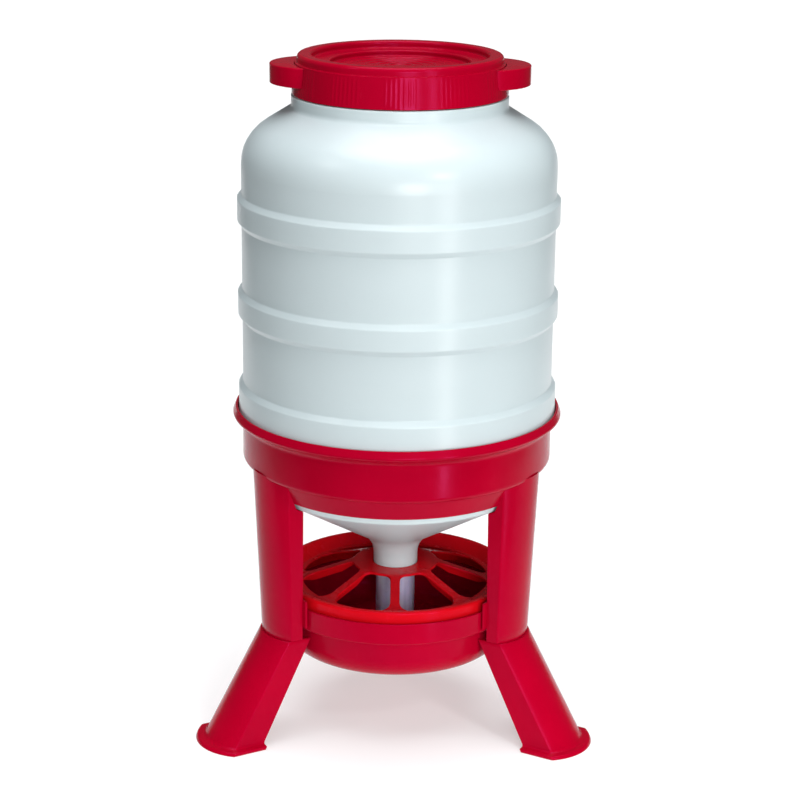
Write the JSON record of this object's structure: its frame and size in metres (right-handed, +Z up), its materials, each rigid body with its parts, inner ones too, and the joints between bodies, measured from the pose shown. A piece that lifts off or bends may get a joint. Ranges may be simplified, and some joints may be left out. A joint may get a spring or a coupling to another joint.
{
  "type": "poultry hopper feeder",
  "caption": "Gravity feeder for poultry: translucent drum with a wide screw lid in a red ring on splayed legs, over a round pan with a spoked anti-waste grille and a sliding feed tube.",
  "frame": {"origin": "on the floor, on the axis of the drum and the pan", "axes": "+Z up along the drum's axis; -Y is the front, midway between the two front legs; +X is to the right seen from the front, along the lid's ears"},
  "size_m": [0.5062, 0.49, 0.8585],
  "materials": {
    "red_plastic": "glossy injection-moulded red polypropylene",
    "natural_plastic": "natural, slightly bluish, translucent blow-moulded polyethylene",
    "tube_plastic": "translucent grey-violet plastic tube",
    "grille_plastic": "glossy moulded plastic, slightly more orange than the other red parts",
    "seal_rubber": "soft black seal ring",
    "steel": "stainless screws"
  },
  "bodies": {
    "stand": {"collar_ring": "red_plastic", "upright_left": "red_plastic", "upright_right": "red_plastic", "upright_rear": "red_plastic", "foot_left": "red_plastic", "foot_right": "red_plastic", "foot_rear": "red_plastic", "pan": "red_plastic", "collar_screws": "steel", "foot_screws": "steel", "pan_screws": "steel"},
    "drum": {"hopper": "natural_plastic"},
    "seal": {"lid_gasket": "seal_rubber"},
    "lid": {"lid": "red_plastic"},
    "grille": {"grille": "grille_plastic"},
    "tube": {"feed_tube": "tube_plastic"}
  },
  "joints": [
    {"name": "hopper_lift", "type": "slide", "parent": "stand", "child": "drum", "axis": [0, 0, 1], "range_m": [0, 0.3]},
    {"name": "lid_lift", "type": "slide", "parent": "drum", "child": "seal", "axis": [0, 0, 1], "range_m": [0, 0.0124]},
    {"name": "lid_turn", "type": "hinge", "parent": "seal", "child": "lid", "pos_m": [0, 0, 0.83], "axis": [0, 0, 1], "range_deg": [0, 450]},
    {"name": "grille_lift", "type": "slide", "parent": "stand", "child": "grille", "axis": [0, 0, 1], "range_m": [0, 0.012]},
    {"name": "tube_slide", "type": "slide", "parent": "drum", "child": "tube", "axis": [0, 0, 1], "range_m": [-0.008, 0.02]}
  ],
  "couplings": [
    {"joint": "lid_turn", "follows": "lid_lift", "rad_per_m": 628.32}
  ]
}
